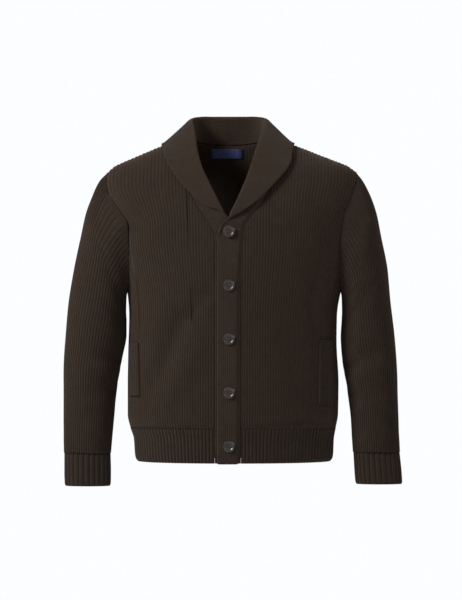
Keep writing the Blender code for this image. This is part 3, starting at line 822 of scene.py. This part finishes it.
WELTS = [
    strip("welt_left", -205, -184, -528, -417, FRONT, WELT_LOW, WELT_HIGH, 5,
          "pocket_welt_left"),
    strip("welt_right", 186, 215, -545, -412, FRONT, WELT_LOW, WELT_HIGH, 6,
          "pocket_welt_right"),
]
LABEL = strip("label_tape", -37, 30.5, -26.5, -6.5, BACK, LABEL_LOW, LABEL_HIGH, 1,
              "neck_label")


# %% [markdown]
# ## Finishes
# The yarn is matt and a little hairy.  Ribs are real, so the bump holds only the stitches: small
# V shapes up each rib.  Shader maths is easier to read as sums, so a small class writes its nodes.

# %% Shader maths as expressions
class Maths:
    """A number in a node tree that takes part in sums."""

    def __init__(self, tree, socket):
        self.tree, self.socket = tree, socket

    def node(self, operation, *values):
        made = self.tree.nodes.new("ShaderNodeMath")
        made.operation = operation
        for slot, value in zip(made.inputs, values):
            if isinstance(value, Maths):
                self.tree.links.new(value.socket, slot)
            else:
                slot.default_value = value
        return Maths(self.tree, made.outputs[0])

    def __add__(self, other):
        return self.node("ADD", self, other)

    def __radd__(self, other):
        return self.node("ADD", other, self)

    def __sub__(self, other):
        return self.node("SUBTRACT", self, other)

    def __rsub__(self, other):
        return self.node("SUBTRACT", other, self)

    def __mul__(self, other):
        return self.node("MULTIPLY", self, other)

    def __rmul__(self, other):
        return self.node("MULTIPLY", other, self)

    def of(self, operation, *values):
        return self.node(operation, self, *values)


class Finish:
    """A material being built: its tree, its shader, and short ways to add nodes."""

    def __init__(self, name, roughness, **constants):
        self.material = bpy.data.materials.new(name)
        self.material.use_nodes = True
        self.tree = self.material.node_tree
        self.shader = self.tree.nodes["Principled BSDF"]
        self.set(Roughness=roughness, **constants)

    def set(self, **values):
        for name, value in values.items():
            socket = self.shader.inputs[name.replace("_", " ")]
            if hasattr(value, "links"):
                self.tree.links.new(value, socket)
            elif isinstance(value, Maths):
                self.tree.links.new(value.socket, socket)
            else:
                socket.default_value = value

    def node(self, kind, settings, **values):
        made = self.tree.nodes.new(kind)
        for name, value in settings.items():
            setattr(made, name, value)
        for name, value in values.items():
            socket = made.inputs[name.replace("_", " ")]
            value = value.socket if isinstance(value, Maths) else value
            if isinstance(value, bpy.types.NodeSocket):
                self.tree.links.new(value, socket)
            else:
                socket.default_value = value
        return made

    def uv(self):
        """Millimetres across and along the cloth."""
        made = self.node("ShaderNodeUVMap", {"uv_map": "cloth"})
        parts = self.node("ShaderNodeSeparateXYZ", {}, Vector=made.outputs[0])
        return [Maths(self.tree, socket) * UV_SCALE for socket in parts.outputs[:2]]

    def noise(self, scale, detail=2.0):
        place = self.node("ShaderNodeTexCoord", {}).outputs["Object"]
        made = self.node("ShaderNodeTexNoise", {}, Vector=place, Scale=scale, Detail=detail)
        return Maths(self.tree, made.outputs[0])

    def mix(self, amount, first, second):
        made = self.node("ShaderNodeMix", {"data_type": "RGBA"}, Factor=amount)
        for slot, colour in ((made.inputs[6], first), (made.inputs[7], second)):
            slot.default_value = (*colour, 1)
        return made.outputs[2]

    def bump(self, height, distance, strength=1.0):
        made = self.node("ShaderNodeBump", {}, Height=height, Distance=distance, Strength=strength)
        self.set(Normal=made.outputs[0])


# %% Knit, rib and band
def knit_finish(name, dark, light, pitch, stitch, depth):
    """Yarn: V stitches, two to a rib, with painted shade darkening the valleys between them, and a
    heathered colour.
    """
    finish = Finish(name, 0.92, Specular_IOR_Level=0.18, Sheen_Weight=0.22, Sheen_Roughness=0.55)
    finish.shader.inputs["Sheen Tint"].default_value = (0.55, 0.42, 0.34, 1)
    across, along = finish.uv()
    column = (across * (2 / pitch)).of("FRACT")
    lean = (column - 0.5).of("ABSOLUTE")
    rung = (along * (1 / stitch) + lean * 1.5).of("FRACT")
    loop = (rung * math.pi).of("SINE") * (column * math.pi).of("SINE")
    fuzz = finish.noise(900.0, 3.0)
    height = loop * 0.8 + fuzz * 0.35
    finish.bump(height, depth)
    # painted shade: the loop term makes the colour darker in the valleys between stitches; the two
    # noises are the yarn's own heathered tone
    heather_and_valley_shade = finish.noise(60.0, 4.0) * 0.5 + fuzz * 0.3 + loop * 0.25
    finish.set(Base_Color=finish.mix(heather_and_valley_shade, dark, light))
    return finish.material


STITCH, BAND_STITCH = 3.4, 2.8      # height of a stitch
KNIT = knit_finish(
    "yarn_brown", (0.0125, 0.0078, 0.0048), (0.042, 0.027, 0.018), RIB, STITCH, 0.0006)
RIB_YARN = knit_finish(
    "yarn_brown_rib", (0.0110, 0.0068, 0.0042), (0.038, 0.025, 0.017), RIB, STITCH, 0.0007)
BAND_YARN = knit_finish(
    "yarn_brown_band", (0.0150, 0.0092, 0.0060), (0.048, 0.032, 0.022), BAND_RIB, BAND_STITCH, 0.0005)
for piece in PANELS:
    piece.data.materials.append(KNIT)
for piece in RIBS + WELTS:
    piece.data.materials.append(RIB_YARN)
BAND.data.materials.append(BAND_YARN)


# %% Woven tape and horn
THREAD = 0.9        # pitch of the tape's weave


def tape_finish():
    finish = Finish("tape_navy", 0.7, Sheen_Weight=0.15)
    across, along = finish.uv()
    thread = 2 * math.pi / THREAD
    weave = (across * thread).of("SINE") * (along * thread).of("SINE")
    finish.bump(weave, 0.0002)
    # painted shade: the tape's colour is darker where the weave's bump is low
    painted_weave_shade = weave * 0.3 + 0.5
    finish.set(Base_Color=finish.mix(painted_weave_shade, (0.036, 0.048, 0.165), (0.06, 0.078, 0.25)))
    return finish.material


def horn_finish():
    finish = Finish("horn_dark", 0.3, Coat_Weight=0.35, Coat_Roughness=0.2, Specular_IOR_Level=0.5)
    cloud = finish.noise(140.0, 4.0)
    finish.set(Base_Color=finish.mix(cloud, (0.016, 0.012, 0.009), (0.062, 0.050, 0.040)))
    finish.set(Roughness=cloud * 0.2 + 0.22)
    finish.bump(finish.noise(500.0), 0.00008)
    return finish.material


LABEL.data.materials.append(tape_finish())
HORN = horn_finish()
BUTTONS = [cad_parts[f"button_{number}"] for number in range(1, 6)]
for button in BUTTONS:
    button.data.materials.clear()
    button.data.materials.append(HORN)
    button.data.shade_smooth()
print("finishes:", len(bpy.data.materials))

# %% [markdown]
# ## Light and camera
# A long lens from the front keeps the garment's proportions.  The white ground is seen by the
# camera, and a large light at the upper left models the folds.

# %% World and lights
world = bpy.data.worlds.new("studio")
bpy.context.scene.world = world
world.use_nodes = True
tree = world.node_tree
tree.nodes.clear()
path = tree.nodes.new("ShaderNodeLightPath")
fill = tree.nodes.new("ShaderNodeBackground")
fill.inputs["Strength"].default_value = 0.34
white = tree.nodes.new("ShaderNodeBackground")
white.inputs["Color"].default_value = (0.97, 0.985, 1.0, 1)
blend = tree.nodes.new("ShaderNodeMixShader")
output = tree.nodes.new("ShaderNodeOutputWorld")
tree.links.new(path.outputs["Is Camera Ray"], blend.inputs[0])
tree.links.new(fill.outputs[0], blend.inputs[1])
tree.links.new(white.outputs[0], blend.inputs[2])
tree.links.new(blend.outputs[0], output.inputs[0])


def area_light(name, place, target, size, power):
    lamp = bpy.data.lights.new(name, "AREA")
    lamp.size = size
    lamp.energy = power
    made = bpy.data.objects.new(name, lamp)
    bpy.context.scene.collection.objects.link(made)
    made.location = place
    made.rotation_euler = (Vector(target) - Vector(place)).to_track_quat("-Z", "Y").to_euler()
    return made


area_light("key", (-2.6, -2.0, 1.7), (0, 0, -0.3), 1.0, 120)
area_light("rim", (2.6, -0.6, 0.9), (0, 0, -0.3), 1.0, 14)
bpy.context.scene.view_settings.view_transform = "Standard"

# %% Floor and camera
bpy.ops.mesh.primitive_circle_add(vertices=64, radius=3.0, fill_type="NGON", location=(0, 0, -1.45))
floor = bpy.context.object
floor.name = "studio_floor"
floor.data.materials.append(
    Finish("studio_pale", 0.5, Base_Color=(0.9, 0.9, 0.9, 1), Metallic=0.0).material)

lens = bpy.data.cameras.new("camera")
lens.lens = 160
lens.sensor_width = 36
lens.clip_end = 50
camera = bpy.data.objects.new("camera", lens)
bpy.context.scene.collection.objects.link(camera)
FRAME_HEIGHT, SILHOUETTE_Y = 1.26, -0.08
distance = FRAME_HEIGHT * lens.lens / lens.sensor_width
camera.location = (0.005, SILHOUETTE_Y - distance, -0.3284)
camera.rotation_euler = (math.pi / 2, 0, 0)
bpy.context.scene.camera = camera
print("camera distance:", round(distance, 2), "m")
